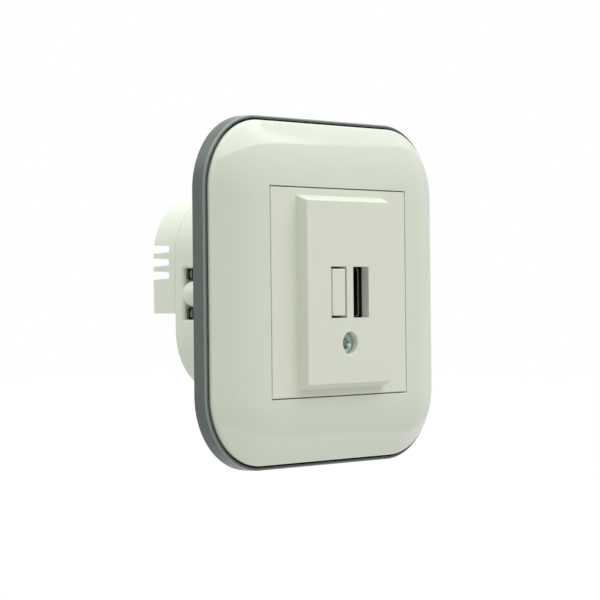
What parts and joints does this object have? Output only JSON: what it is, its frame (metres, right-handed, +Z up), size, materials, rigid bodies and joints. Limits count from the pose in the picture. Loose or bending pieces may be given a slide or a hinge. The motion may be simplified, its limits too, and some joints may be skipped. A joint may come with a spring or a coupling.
{
  "type": "usb wall socket",
  "caption": "Flush-mounted wall socket with a crowned square frame, grey trim ring, raised centre plate, USB-A charging port, push key and finned insert behind the wall line.",
  "frame": {"origin": "middle of the support plate's back face, on the wall plane", "axes": "+Y into the wall, +Z up, the front faces -Y"},
  "size_m": [0.0922, 0.05, 0.0922],
  "materials": {
    "trim_grey": "satin grey moulding",
    "frame_white": "glossy warm white moulding",
    "plate_white": "matt warm white moulding",
    "housing_white": "matt white moulding",
    "zinc_steel": "bright zinc plating",
    "nickel_plate": "nickel plating",
    "dark_steel": "dull grey plating",
    "tongue_brown": "matt",
    "brass": "bright",
    "black_plastic": "matt",
    "board_green": "solder resist",
    "copper": "enamelled wire",
    "ferrite": "matt ground ferrite",
    "capacitor_sleeve": "shrink sleeve",
    "capacitor_yellow": "moulded case",
    "fuse_glass": "pale sleeve"
  },
  "bodies": {
    "socket": {"trim_ring": "trim_grey", "cover_frame": "frame_white", "centre_plate": "plate_white", "plate_screw": "zinc_steel", "threaded_bush": "brass", "support_plate": "zinc_steel", "support_screws": "zinc_steel", "insert_front": "housing_white", "insert_housing": "housing_white", "rear_cover": "housing_white", "circuit_board": "board_green", "usb_shell": "nickel_plate", "usb_insulator": "tongue_brown", "usb_contacts": "brass", "switch_body": "black_plastic", "terminal_upper": "dark_steel", "terminal_lower": "dark_steel", "clamp_washers": "dark_steel", "terminal_screws": "dark_steel", "transformer_bobbin": "black_plastic", "transformer_winding": "copper", "transformer_core": "ferrite", "input_capacitor": "capacitor_sleeve", "output_capacitor": "capacitor_sleeve", "safety_capacitor": "capacitor_yellow", "bridge_rectifier": "black_plastic", "controller_chip": "black_plastic", "fuse": "fuse_glass", "output_choke": "ferrite"},
    "key": {"push_key": "plate_white", "switch_plunger": "plate_white"}
  },
  "joints": [
    {"name": "key_press", "type": "slide", "parent": "socket", "child": "key", "axis": [0, 1, 0], "range_m": [0, 0.0015], "stiffness_N_per_m": 1500}
  ]
}
